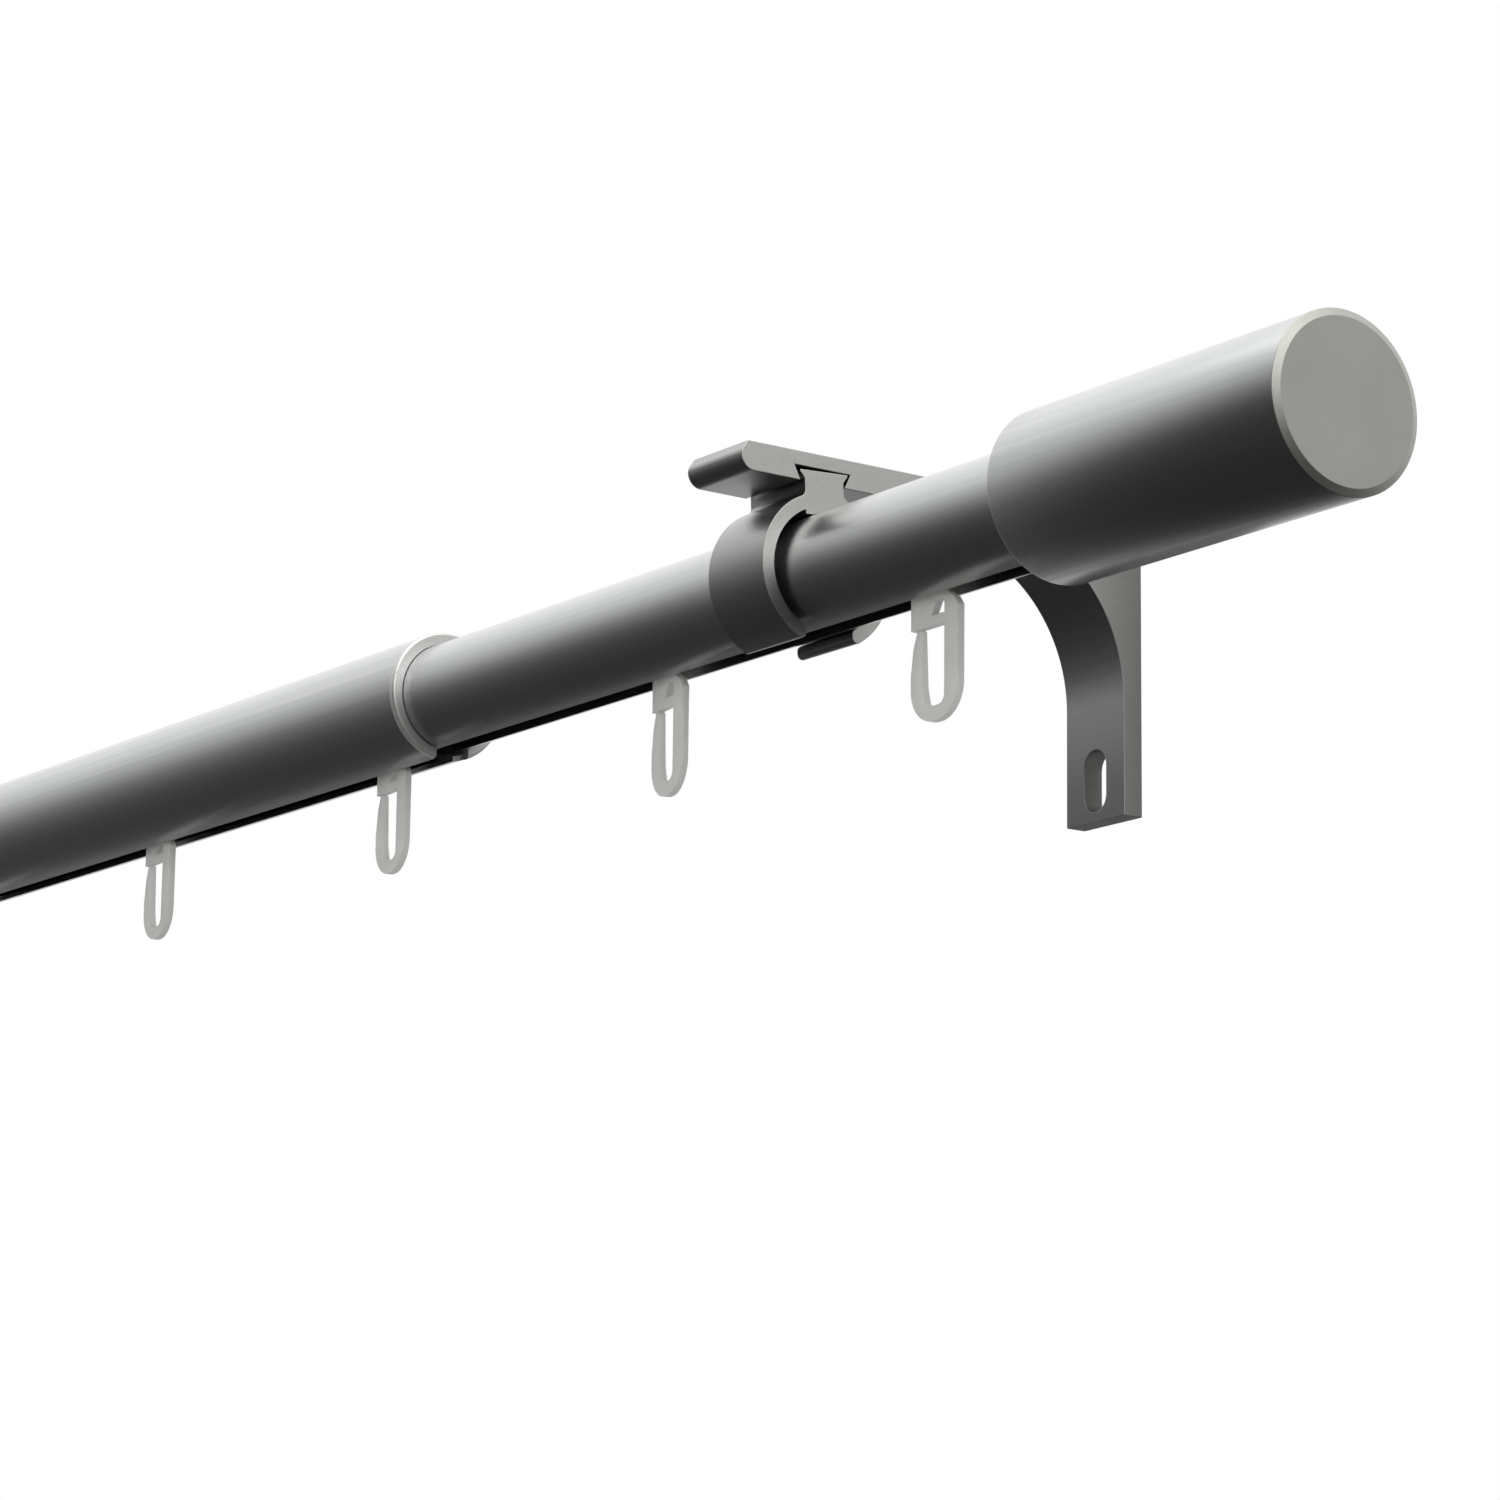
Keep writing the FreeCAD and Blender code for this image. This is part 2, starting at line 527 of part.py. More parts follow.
def make_glider(label, start):
    """One-piece glider: a head bar for the track, a neck, a block and a snap hook."""
    body = new_body(label)
    half = "sizes.glider_width / 2"
    block = "-sizes.block_drop"
    tip = f"{block} - sizes.snap_gap"
    outline = polygon(body, "outline", "XZ_Plane", [
        (f"-{half}", "sizes.glider_head_height / 2"),
        (f"-{half}", block),
        ("-sizes.arm_tip_reach", block),
        ("-sizes.arm_tip_reach", tip),
        ("-sizes.arm_bow_reach", "-sizes.arm_bow_drop"),
        (f"-{half}", "-sizes.arm_full_drop"),
        (f"-{half}", "-sizes.glider_drop"),
        (half, "-sizes.glider_drop"),
        (half, "-sizes.shoulder_end"),
        ("sizes.shoulder_reach", "-sizes.shoulder_drop"),
        ("sizes.neck_reach", "-sizes.neck_drop"),
        ("sizes.neck_reach", "sizes.glider_head_height / 2"),
    ])
    pad(body, "plate", outline, "sizes.glider_thickness", side="Symmetric")
    side = number(half)
    bottom = -number("sizes.glider_drop")
    corners = [Vector(side, 0, bottom), Vector(-side, 0, bottom)]
    fillet(body, "loop", straight_edges(body.Shape, Vector(0, 1, 0), corners),
           "sizes.glider_rounding")

    inner = "(sizes.glider_width / 2 - sizes.stem_width)"
    tip_inside = "-(sizes.arm_tip_reach - sizes.arm_tip_width)"
    eye = polygon(body, "eye_outline", "XZ_Plane", [
        (inner, block),
        (tip_inside, block),
        ("-sizes.eye_waist_reach", "-sizes.eye_waist_drop"),
        ("-sizes.eye_foot_reach", "-sizes.eye_drop"),
        (inner, "-sizes.eye_drop"),
    ])
    cut_through(body, "eye", eye)
    foot = -number("sizes.eye_drop")
    corners = [Vector(number(inner), 0, foot), Vector(-number("sizes.eye_foot_reach"), 0, foot)]
    fillet(body, "eye_foot", straight_edges(body.Shape, Vector(0, 1, 0), corners),
           "sizes.eye_rounding")
    snap = polygon(body, "snap_outline", "XZ_Plane", [
        ("-(sizes.arm_tip_reach + sizes.snap_gap)", block),
        (f"{tip_inside} + sizes.snap_gap", block),
        (f"{tip_inside} + sizes.snap_gap", tip),
        ("-(sizes.arm_tip_reach + sizes.snap_gap)", tip),
    ])
    cut_through(body, "snap", snap)
    window_foot = "-(sizes.window_top + sizes.window_height)"
    window = polygon(body, "window_outline", "XZ_Plane", [
        ("-sizes.window_reach", window_foot),
        (inner, window_foot),
        (inner, "-sizes.window_top"),
        ("sizes.window_peak", "-sizes.window_top"),
    ])
    cut_through(body, "window", window)
    bar = polygon(body, "head_outline", "XZ_Plane", [
        (f"-{half}", "0"),
        ("sizes.neck_reach", "0"),
        ("sizes.neck_reach", "sizes.glider_head_height"),
        (f"-{half}", "sizes.glider_head_height"),
    ])
    pad(body, "head", bar, "sizes.glider_head_width", side="Symmetric")

    if start == "left_finial":
        reach = f"({OUTER_BORE} - sizes.running_gap)"
        runway = f"sqrt(pow({reach}; 2) - pow(sizes.glider_head_width / 2; 2))"
    else:
        runway = f"(sizes.track_depth - sizes.running_gap + {INNER_DROP})"
    place(body, along=f"{GLIDER_STARTS[start]} + sizes.{label}_place", across=ROD_Y,
          up=f"-{runway}", turn=f"sizes.{label}_turn")


make_outer_tube()
make_inner_tube()
make_collar()
make_finial("right", RIGHT_FINIAL, "sizes.inner_tube_radius", INNER_DROP, "0")
make_finial("left", LEFT_FINIAL, "sizes.outer_tube_radius", "0", "180")
make_bracket("right", "0")
make_bracket("left", LEFT_BRACKET)
make_ring("right", "0", "sizes.inner_tube_radius", INNER_DROP)
make_ring("left", LEFT_BRACKET, "sizes.outer_tube_radius", "0")
for glider, start, distance, degrees in GLIDERS:
    make_glider(glider, start)
doc.removeObject("gauge")
doc.recompute()

for item in doc.Objects:
    if "Invalid" in item.State or "Error" in item.State:
        raise RuntimeError(f"{item.Label} failed: {item.State}")

os.makedirs("parts", exist_ok=True)
for body in doc.findObjects("PartDesign::Body"):
    shape = body.Shape
    if shape.isNull() or not shape.isValid() or len(shape.Solids) != 1:
        raise RuntimeError(f"{body.Label} is not one valid solid")
    shape.exportStep(f"parts/{body.Label}.step")
    box = shape.BoundBox
    print(f"{body.Label:24s} {shape.Volume / 1000:8.3f} cm3  x {box.XMin:8.1f} {box.XMax:8.1f}"
          f"  y {box.YMin:7.2f} {box.YMax:7.2f}  z {box.ZMin:7.2f} {box.ZMax:7.2f}")
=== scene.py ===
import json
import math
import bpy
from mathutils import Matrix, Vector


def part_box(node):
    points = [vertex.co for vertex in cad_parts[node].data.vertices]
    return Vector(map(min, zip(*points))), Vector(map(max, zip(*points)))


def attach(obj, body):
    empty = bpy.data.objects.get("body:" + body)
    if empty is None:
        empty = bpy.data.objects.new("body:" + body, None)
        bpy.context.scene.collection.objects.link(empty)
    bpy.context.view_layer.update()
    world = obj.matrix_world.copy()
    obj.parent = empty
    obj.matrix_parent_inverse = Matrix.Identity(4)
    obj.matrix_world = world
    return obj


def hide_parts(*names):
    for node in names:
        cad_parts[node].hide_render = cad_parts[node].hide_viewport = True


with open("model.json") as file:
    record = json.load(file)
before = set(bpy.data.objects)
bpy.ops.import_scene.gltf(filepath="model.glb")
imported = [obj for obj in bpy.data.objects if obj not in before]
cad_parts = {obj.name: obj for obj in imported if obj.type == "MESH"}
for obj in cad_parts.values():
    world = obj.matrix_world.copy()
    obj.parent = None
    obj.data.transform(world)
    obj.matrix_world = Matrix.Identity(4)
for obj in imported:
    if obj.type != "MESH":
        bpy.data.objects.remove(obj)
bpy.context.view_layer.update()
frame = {"nodes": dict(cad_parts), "record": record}

# %% [markdown]
# # A telescopic curtain rod
# Two satin aluminium tubes slide in each other. An open plastic collar guides the smaller
# one, an open ring under each wall bracket holds the rod, a short wider sleeve with a
# lacquered disc closes each end, and plastic snap hooks run in the slot along the bottom.
# The solids are loaded above, in metres. This lesson gives them soft edges, finishes, light
# and a camera.

nodes = frame["nodes"]
scene = bpy.context.scene
MM = 0.001

# %% [markdown]
# ## Camera
# The photograph looks up at the rod from below its right end, so the end disc is large and
# the far end runs out of the picture. The camera's place was found by matching the tube's
# edges, the bracket and the disc. It is built from a turn, a lift and a slight roll, which
# are easier to read than a matrix of nine numbers.

# %% Place the camera at the photograph's viewing angle
CAMERA_PLACE = Vector((0.6508, -0.5394, -0.2041))
CAMERA_TURN = 0.9534
CAMERA_LIFT = 0.2143
CAMERA_ROLL = 0.0125
FOCAL_LENGTH = 119.12
SENSOR_WIDTH = 36


def camera_frame(turn, lift, roll):
    """The camera's right, up and backward directions as the columns of a matrix."""
    side = Vector((math.cos(turn), math.sin(turn), 0))
    ahead = Vector((-math.sin(turn), math.cos(turn), 0))
    up = Vector((0, 0, 1))
    look = ahead * math.cos(lift) + up * math.sin(lift)
    crown = up * math.cos(lift) - ahead * math.sin(lift)
    right = side * math.cos(roll) + crown * math.sin(roll)
    head = crown * math.cos(roll) - side * math.sin(roll)
    return Matrix((right, head, -look)).transposed().to_4x4()


bpy.ops.object.select_all(action="DESELECT")
bpy.ops.object.camera_add()
camera = bpy.context.object
camera.name = "camera"
camera.data.lens = FOCAL_LENGTH
camera.data.sensor_width = SENSOR_WIDTH
directions = camera_frame(CAMERA_TURN, CAMERA_LIFT, CAMERA_ROLL)
camera.matrix_world = Matrix.Translation(CAMERA_PLACE) @ directions
scene.camera = camera
scene.view_settings.view_transform = "Standard"
print("camera at", [round(v, 3) for v in CAMERA_PLACE])

# %% [markdown]
# ## Working on a copy of a solid
# The brackets, rings and hooks were cut or moulded with sharp corners in the solids, and
# real ones never are: a saw's burr is tumbled off and a mould has small radii. Remodelling
# them would only repeat the section, so each is copied. The copy's loose triangles are
# merged, flat areas become single faces, and a narrow bevel goes round every edge that is
# sharper than a limit. Weighted normals then keep the flat faces flat under the light.

# %% Helpers for edit mode
SHARP = math.radians(35)
FLAT = math.radians(0.5)
WELD = 0.002 * MM
BEVEL_STEPS = 2


def select_only(piece):
    """Make one piece the only selected and active one."""
    bpy.ops.object.select_all(action="DESELECT")
    piece.select_set(True)
    bpy.context.view_layer.objects.active = piece


def enter(piece):
    """Open one piece for editing, with nothing selected in it."""
    select_only(piece)
    bpy.ops.object.mode_set(mode="EDIT")
    bpy.ops.mesh.select_all(action="DESELECT")


def leave():
    """Close the open piece."""
    bpy.ops.object.mode_set(mode="OBJECT")


def pick(piece, kind, test):
    """In edit mode, select the edges or faces whose corners all pass a test."""
    bpy.ops.mesh.select_mode(type=kind)
    bpy.ops.mesh.select_all(action="DESELECT")
    leave()
    points = piece.data.vertices
    chosen = {"EDGE": piece.data.edges, "FACE": piece.data.polygons}[kind]
    for item in chosen:
        item.select = all(test(points[i].co) for i in item.vertices)
    bpy.ops.object.mode_set(mode="EDIT")
    return sum(item.select for item in chosen)


def merged_copy(node, name):
    """A copy of a solid's mesh with its triangles merged and its flat areas joined."""
    piece = bpy.data.objects.new(name, nodes[node].data.copy())
    scene.collection.objects.link(piece)
    piece.data.materials.clear()
    enter(piece)
    bpy.ops.mesh.select_all(action="SELECT")
    bpy.ops.mesh.remove_doubles(threshold=WELD)
    bpy.ops.mesh.customdata_custom_splitnormals_clear()
    bpy.ops.mesh.dissolve_limited(angle_limit=FLAT)
    leave()
    return piece


def apply_modifier(piece, kind, **settings):
    """Add one modifier with its settings and apply it."""
    modifier = piece.modifiers.new(kind.lower(), kind)
    for name, value in settings.items():
        setattr(modifier, name, value)
    select_only(piece)
    bpy.ops.object.modifier_apply(modifier=modifier.name)


def soften(piece, width):
    """Bevel every sharp edge, then smooth the bevels and keep the flat faces flat."""
    apply_modifier(piece, "BEVEL", width=width, segments=BEVEL_STEPS, limit_method="ANGLE",
                   angle_limit=SHARP)
    bpy.ops.object.shade_smooth_by_angle(angle=SHARP)
    apply_modifier(piece, "WEIGHTED_NORMAL", keep_sharp=True)


def body_of(node):
    """The name of the body that a solid moves with."""
    for body, members in frame["record"]["behaviour"]["bodies"].items():
        if node in members:
            return body
    raise ValueError(node)


def settle(piece, node):
    """Let a finished piece stand for a solid and move as that solid does."""
    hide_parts(node)
    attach(piece, body_of(node))
    print(f"{piece.name}: {len(piece.data.polygons)} faces")


# %% [markdown]
# ## Wall brackets
# Each bracket is one slice sawn from an extruded bar: a thin wall plate, a large elbow, a
# flat arm with a rounded nose, and a dovetail groove under it. The saw leaves crisp edges
# that are only just broken, so the bevel is 0.15 mm.

# %% Soften the two brackets
SECTION_EDGE = 0.15 * MM


def softened_pair(node_end, piece_end):
    """The right and the left piece of one extruded section, each softened and settled."""
    pair = []
    for side in ("right", "left"):
        piece = merged_copy(f"{side}_{node_end}", f"{side}_{piece_end}")
        soften(piece, SECTION_EDGE)
        settle(piece, f"{side}_{node_end}")
        pair.append(piece)
    return pair


brackets = softened_pair("bracket", "bracket_slice")

# %% [markdown]
# ## Open rings
# A ring is a slice of a second section. Its head hangs loosely in the groove, its seat rests
# on the tube, and its two lips end in full rounds either side of the slot. It is sawn and
# tumbled as the brackets are, so the same helper serves.

# %% Soften the two rings
rings = softened_pair("ring", "ring_slice")

# %% [markdown]
# ## Gliders
# A glider is moulded in one piece: a bar that runs in the track, a thin neck, a block with a
# small window, and a loop whose left side is a springy arm that snaps under the block. All
# ten come from one mould, and each is a copy of its own solid, because each hangs at its
# own small angle in the slot.

# %% Soften the ten gliders
GLIDER_EDGE = 0.12 * MM
gliders = []
for node in sorted(name for name in nodes if name.startswith("glider")):
    piece = merged_copy(node, f"{node}_hook")
    soften(piece, GLIDER_EDGE)
    settle(piece, node)
    gliders.append(piece)

# %% [markdown]
# ## Finial sleeves
# Each end of the rod is closed by a short length of wider tube, satin like the rod. It could
# be a cylinder with a hole, but a sheet of faces that is given a thickness is how the real
# wall comes about: an open cylinder, a solidify modifier inwards, and a bevel for the sawn
# edges. The left sleeve is the same piece, turned round and moved to its own end.

# %% Model the right sleeve
SLEEVE_SIDES = 128
SLEEVE_WALL = 1.5 * MM
MOUTH_EDGE = 0.3 * MM
MOUTH_STEPS = 3
SAWN_EDGE = 0.05 * MM
SAWN_CORNER = math.radians(60)
CIRCLE_ERROR = 0.01 * MM


def along_x(radius, start, end, middle, sides, name, ends):
    """A cylinder along X between two places, about a middle in Y and Z."""
    bpy.ops.object.select_all(action="DESELECT")
    bpy.ops.mesh.primitive_cylinder_add(vertices=sides, radius=radius, depth=end - start,
                                        end_fill_type=ends, rotation=(0, math.pi / 2, 0),
                                        location=((start + end) / 2, middle.y, middle.z))
    piece = bpy.context.object
    piece.name = name
    bpy.ops.object.transform_apply(location=True, rotation=True, scale=True)
    return piece


def middle_of(node):
    """The middle of a solid's box."""
    low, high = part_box(node)
    return (low + high) / 2


def on_circle(place, radius):
    """A test for corners on one circle about the rod's axis."""
    def test(corner):
        reach = Vector((0, corner.y - finial_middle.y, corner.z - finial_middle.z)).length
        return abs(corner.x - place) < WELD and abs(reach - radius) < CIRCLE_ERROR
    return test


sleeve_low, sleeve_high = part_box("right_finial_sleeve")
finial_radius = (sleeve_high.z - sleeve_low.z) / 2
finial_middle = middle_of("right_finial_sleeve")
right_sleeve = along_x(finial_radius, sleeve_low.x, sleeve_high.x, finial_middle, SLEEVE_SIDES,
                       "right_finial_sleeve_tube", "NOTHING")
apply_modifier(right_sleeve, "SOLIDIFY", thickness=SLEEVE_WALL, offset=-1)
enter(right_sleeve)
mouth_edges = pick(right_sleeve, "EDGE", on_circle(sleeve_low.x, finial_radius))
bpy.ops.mesh.bevel(offset=MOUTH_EDGE, segments=MOUTH_STEPS, affect="EDGES")
leave()
apply_modifier(right_sleeve, "BEVEL", width=SAWN_EDGE, segments=BEVEL_STEPS,
               angle_limit=SAWN_CORNER)
bpy.ops.object.shade_smooth_by_angle(angle=SHARP)
print("mouth edges rounded:", mouth_edges)
print("sleeve radius and length in mm:", round(finial_radius / MM, 2),
      round((sleeve_high.x - sleeve_low.x) / MM, 2))

# %% Copy it to the left end


def turned_copy(piece, name, node):
    """A copy with its own mesh, half a turn about the upright axis and onto its own solid."""
    twin = bpy.data.objects.new(name, piece.data.copy())
    scene.collection.objects.link(twin)
    select_only(twin)
    low = min(corner[0] for corner in piece.bound_box)
    high = max(corner[0] for corner in piece.bound_box)
    twin.rotation_euler.z = math.pi
    twin.location = (low + high, 2 * finial_middle.y, 0)
    bpy.ops.object.transform_apply(location=True, rotation=True, scale=True)
    twin.location.x = middle_of(node).x - (low + high) / 2
    bpy.ops.object.transform_apply(location=True, rotation=True, scale=True)
    return twin


left_sleeve = turned_copy(right_sleeve, "left_finial_sleeve_tube", "left_finial_sleeve")
settle(right_sleeve, "right_finial_sleeve")
settle(left_sleeve, "left_finial_sleeve")

# %% [markdown]
# ## End discs
# The disc that closes a sleeve is a cap with a flat face, a slanted rim that catches the
# light, and a hollow spigot that holds it in the sleeve. It is worked from a thin drum: one
# inset of the front face, with a depth, makes the face and the slant at once. The back is
# inset and pulled out for the spigot, then inset again and pushed back for the hollow. A
# bevel modifier could slant the rim too, but only as deep as it is wide.

# %% Model the right disc
DISC_SIDES = 128
RIM_DEPTH = 0.5 * MM
RIM_REACH = 1.25 * MM
SPIGOT_GAP = 0.05 * MM
SPIGOT_WALL = 1.6 * MM
DISC_EDGE = 0.06 * MM
CRISP = math.radians(15)


def across(place):
    """A test for corners on one plane across the rod."""
    return lambda corner: abs(corner.x - place) < WELD


def extrude_along_x(reach):
    """Extrude the selected face by a reach along X."""
    bpy.ops.mesh.extrude_region_move(TRANSFORM_OT_translate={"value": (reach, 0, 0)})


disc_low, disc_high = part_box("right_finial_disc")
disc_back = sleeve_high.x
drum_front = disc_high.x - RIM_DEPTH
spigot_length = disc_back - disc_low.x
spigot_radius = finial_radius - SLEEVE_WALL - SPIGOT_GAP
right_disc = along_x(finial_radius, disc_back, drum_front, finial_middle, DISC_SIDES,
                     "right_finial_disc_cap", "NGON")
enter(right_disc)
pick(right_disc, "FACE", across(drum_front))
bpy.ops.mesh.inset(thickness=RIM_REACH, depth=RIM_DEPTH)
pick(right_disc, "FACE", across(disc_back))
bpy.ops.mesh.inset(thickness=finial_radius - spigot_radius)
extrude_along_x(-spigot_length)
bpy.ops.mesh.inset(thickness=SPIGOT_WALL)
extrude_along_x(spigot_length)
leave()
apply_modifier(right_disc, "BEVEL", width=DISC_EDGE, segments=BEVEL_STEPS, angle_limit=CRISP)
bpy.ops.object.shade_smooth_by_angle(angle=CRISP)
apply_modifier(right_disc, "WEIGHTED_NORMAL", keep_sharp=True)
left_disc = turned_copy(right_disc, "left_finial_disc_cap", "left_finial_disc")
settle(right_disc, "right_finial_disc")
settle(left_disc, "left_finial_disc")
print("flange in mm:", round((disc_high.x - disc_back) / MM, 2))

# %% [markdown]
# ## Coupling collar
# The collar is a springy plastic C at the mouth of the larger tube, and reads as a pale
# band between two dark tubes. Its flange and its spigot share one off-centre bore, which
# makes it simplest to keep the solid's own shape, merge a copy and soften its edges.

# %% Soften the collar
COLLAR_EDGE = 0.15 * MM
collar = merged_copy("coupling_collar", "coupling_collar_guide")
soften(collar, COLLAR_EDGE)
settle(collar, "coupling_collar")

# %% [markdown]
# ## Satin aluminium
# The tubes are drawn, finely brushed along their length and anodised clear. The finish is a
# metal of middle roughness. Its streaks are hundreds of times longer than they are wide, so
# the noise that makes them reads Object coordinates stretched along X. They change the
# roughness and the colour a little and raise a very low bump. Anisotropy would do the
# same for a highlight, but not show single streaks close up.

# %% Helpers for materials
NOISE_LOW = 0.3
NOISE_HIGH = 0.7
NOISE_ROUGHNESS = 0.6


def add_node(tree, kind, **inputs):
    """A node with some of its inputs set."""
    node = tree.nodes.new(kind)
    for name, value in inputs.items():
        node.inputs[name.replace("_", " ")].default_value = value
    return node


def add_math(tree, operation, first, second=None):
    """One calculation on an output and, where given, a second output or a number."""
    node = tree.nodes.new("ShaderNodeMath")
    node.operation = operation
    tree.links.new(first, node.inputs[0])
    if isinstance(second, float):
        node.inputs[1].default_value = second
    elif second is not None:
        tree.links.new(second, node.inputs[1])
    return node.outputs[0]


def new_material(name, **sockets):
    """A material and its shader, with sockets set by name."""
    material = bpy.data.materials.new(name)
    material.use_nodes = True
    shader = material.node_tree.nodes["Principled BSDF"]
    for socket, value in sockets.items():
        shader.inputs[socket.replace("_", " ")].default_value = value
    return material, material.node_tree, shader


def stretched_noise(tree, scale, detail):
    """Noise on Object coordinates, stretched by a scale for each axis."""
    place = tree.nodes.new("ShaderNodeTexCoord")
    mapping = add_node(tree, "ShaderNodeMapping", Scale=scale)
    noise = add_node(tree, "ShaderNodeTexNoise", Scale=1.0, Detail=detail,
                     Roughness=NOISE_ROUGHNESS)
    tree.links.new(place.outputs["Object"], mapping.inputs["Vector"])
    tree.links.new(mapping.outputs["Vector"], noise.inputs["Vector"])
    return noise.outputs["Fac"]


def map_range(tree, value, from_low, from_high, to_low, to_high):
    """Map a value from one range to another."""
    ramp = add_node(tree, "ShaderNodeMapRange", From_Min=from_low, From_Max=from_high,
                    To_Min=to_low, To_Max=to_high)
    tree.links.new(value, ramp.inputs["Value"])
    return ramp.outputs["Result"]


def spread(tree, value, low, high):
    """Map the middle of a noise onto a range of values."""
    return map_range(tree, value, NOISE_LOW, NOISE_HIGH, low, high)


def mix_colours(tree, value, first, second):
    """Mix two colours, or the outputs that give them, by a value from 0 to 1."""
    mix = tree.nodes.new("ShaderNodeMix")
    mix.data_type = "RGBA"
    for socket, colour in (("A", first), ("B", second)):
        if isinstance(colour, tuple):
            mix.inputs[socket].default_value = (*colour, 1)
        else:
            tree.links.new(colour, mix.inputs[socket])
    tree.links.new(value, mix.inputs["Factor"])
    return mix.outputs["Result"]


def bump(tree, value, depth, strength):
    """A bump of a given depth in metres."""
    node = add_node(tree, "ShaderNodeBump", Strength=strength, Distance=depth)
    tree.links.new(value, node.inputs["Height"])
    return node.outputs["Normal"]


# %% Brushed satin aluminium for tubes and sleeves
FINE_LENGTH = 110 * MM
FINE_WIDTH = 0.22 * MM
BROAD_LENGTH = 220 * MM
BROAD_WIDTH = 1.1 * MM
STREAK_DEPTH = 0.02 * MM
STREAK_BUMP = 0.35
SATIN_DARK = (0.452, 0.459, 0.46)
SATIN_LIGHT = (0.53, 0.538, 0.539)
SATIN_DULL = 0.35
SATIN_GLOSSY = 0.26


def satin_aluminium():
    """Drawn tube, brushed along X."""
    material, tree, shader = new_material("satin_aluminium", Metallic=1.0)
    fine = stretched_noise(tree, (1 / FINE_LENGTH, 1 / FINE_WIDTH, 1 / FINE_WIDTH), detail=3)
    broad = stretched_noise(tree, (1 / BROAD_LENGTH, 1 / BROAD_WIDTH, 1 / BROAD_WIDTH), detail=2)
    streaks = add_math(tree, "MULTIPLY", add_math(tree, "ADD", fine, broad), 0.5)
    colour = mix_colours(tree, spread(tree, streaks, 0, 1), SATIN_DARK, SATIN_LIGHT)
    dull = spread(tree, streaks, SATIN_DULL, SATIN_GLOSSY)
    tree.links.new(colour, shader.inputs["Base Color"])
    tree.links.new(dull, shader.inputs["Roughness"])
    tree.links.new(bump(tree, streaks, STREAK_DEPTH, STREAK_BUMP), shader.inputs["Normal"])
    return material


tube_metal = satin_aluminium()
print("streaks across, in mm:", round(FINE_WIDTH / MM, 2), round(BROAD_WIDTH / MM, 2))

# %% [markdown]
# ## Extruded and sawn aluminium
# The swept faces of the brackets and rings carry fine die lines along X. The two cut faces
# were sawn and tumbled, so they are duller and show short scratches the other way. One
# material serves both: the surface's own direction, read from the object's normal, tells a
# cut face from a swept one and mixes the two patterns.

# %% Bracket aluminium
DIE_LINES = (20, 3000, 3000)
SAW_MARKS = (3000, 700, 5000)
CUT_FROM = 0.6
CUT_FULL = 0.9
SWEPT_DARK = (0.342, 0.346, 0.338)
SWEPT_LIGHT = (0.378, 0.382, 0.374)
CUT_DARK = (0.43, 0.434, 0.414)
CUT_LIGHT = (0.49, 0.494, 0.474)
SWEPT_DULL = 0.34
CUT_DULL = 0.40
MARK_DEPTH = 0.02 * MM
MARK_BUMP = 0.3


def bracket_aluminium():
    """Extruded section with sawn side faces."""
    material, tree, shader = new_material("bracket_aluminium", Metallic=1.0)
    drawn = stretched_noise(tree, DIE_LINES, detail=3)
    sawn = stretched_noise(tree, SAW_MARKS, detail=4)
    facing = tree.nodes.new("ShaderNodeTexCoord")
    axes = tree.nodes.new("ShaderNodeSeparateXYZ")
    tree.links.new(facing.outputs["Normal"], axes.inputs[0])
    across_rod = add_math(tree, "ABSOLUTE", axes.outputs["X"])
    cut = map_range(tree, across_rod, CUT_FROM, CUT_FULL, 0, 1)
    grain = tree.nodes.new("ShaderNodeMix")
    tree.links.new(cut, grain.inputs["Factor"])
    tree.links.new(drawn, grain.inputs["A"])
    tree.links.new(sawn, grain.inputs["B"])
    marks = grain.outputs["Result"]
    fleck = spread(tree, marks, 0, 1)
    swept_colour = mix_colours(tree, fleck, SWEPT_DARK, SWEPT_LIGHT)
    cut_colour = mix_colours(tree, fleck, CUT_DARK, CUT_LIGHT)
    colour = mix_colours(tree, cut, swept_colour, cut_colour)
    dull = map_range(tree, cut, 0, 1, SWEPT_DULL, CUT_DULL)
    tree.links.new(colour, shader.inputs["Base Color"])
    tree.links.new(dull, shader.inputs["Roughness"])
    tree.links.new(bump(tree, marks, MARK_DEPTH, MARK_BUMP), shader.inputs["Normal"])
    return material


section_metal = bracket_aluminium()
print("bracket material:", section_metal.name)

# %% [markdown]
# ## Plastics
# The end discs are lacquered: warm grey with a soft metallic gloss and an even grain, which
# a metal of middle roughness shows well. The gliders are natural nylon, milky and a little
# see-through, which subsurface scattering gives: light that enters one side leaves another,
# and thin parts glow. The collar is thin clear plastic pressed on metal, and what shows is
# the metal's gloss through it, so it is a pale metal with a little plastic in the mix. The
# adapters inside the sleeves are dark and seen by nobody, but still get their grain.

# %% Grained plastics
CLOUDS = (90, 90, 90)
GLOSSIER = 0.05
DULLER = 0.07
GRAIN_BUMP = 0.4


def grained_plastic(name, dark, light, roughness, grain, depth, **sockets):
    """Moulded plastic with a fine even grain and slight clouds of colour."""
    material, tree, shader = new_material(name, **sockets)
    specks = stretched_noise(tree, (1 / grain, 1 / grain, 1 / grain), detail=3)
    clouds = stretched_noise(tree, CLOUDS, detail=2)
    colour = mix_colours(tree, spread(tree, clouds, 0, 1), dark, light)
    dull = spread(tree, specks, roughness - GLOSSIER, roughness + DULLER)
    tree.links.new(colour, shader.inputs["Base Color"])
    tree.links.new(dull, shader.inputs["Roughness"])
    tree.links.new(bump(tree, specks, depth, GRAIN_BUMP), shader.inputs["Normal"])
    return material


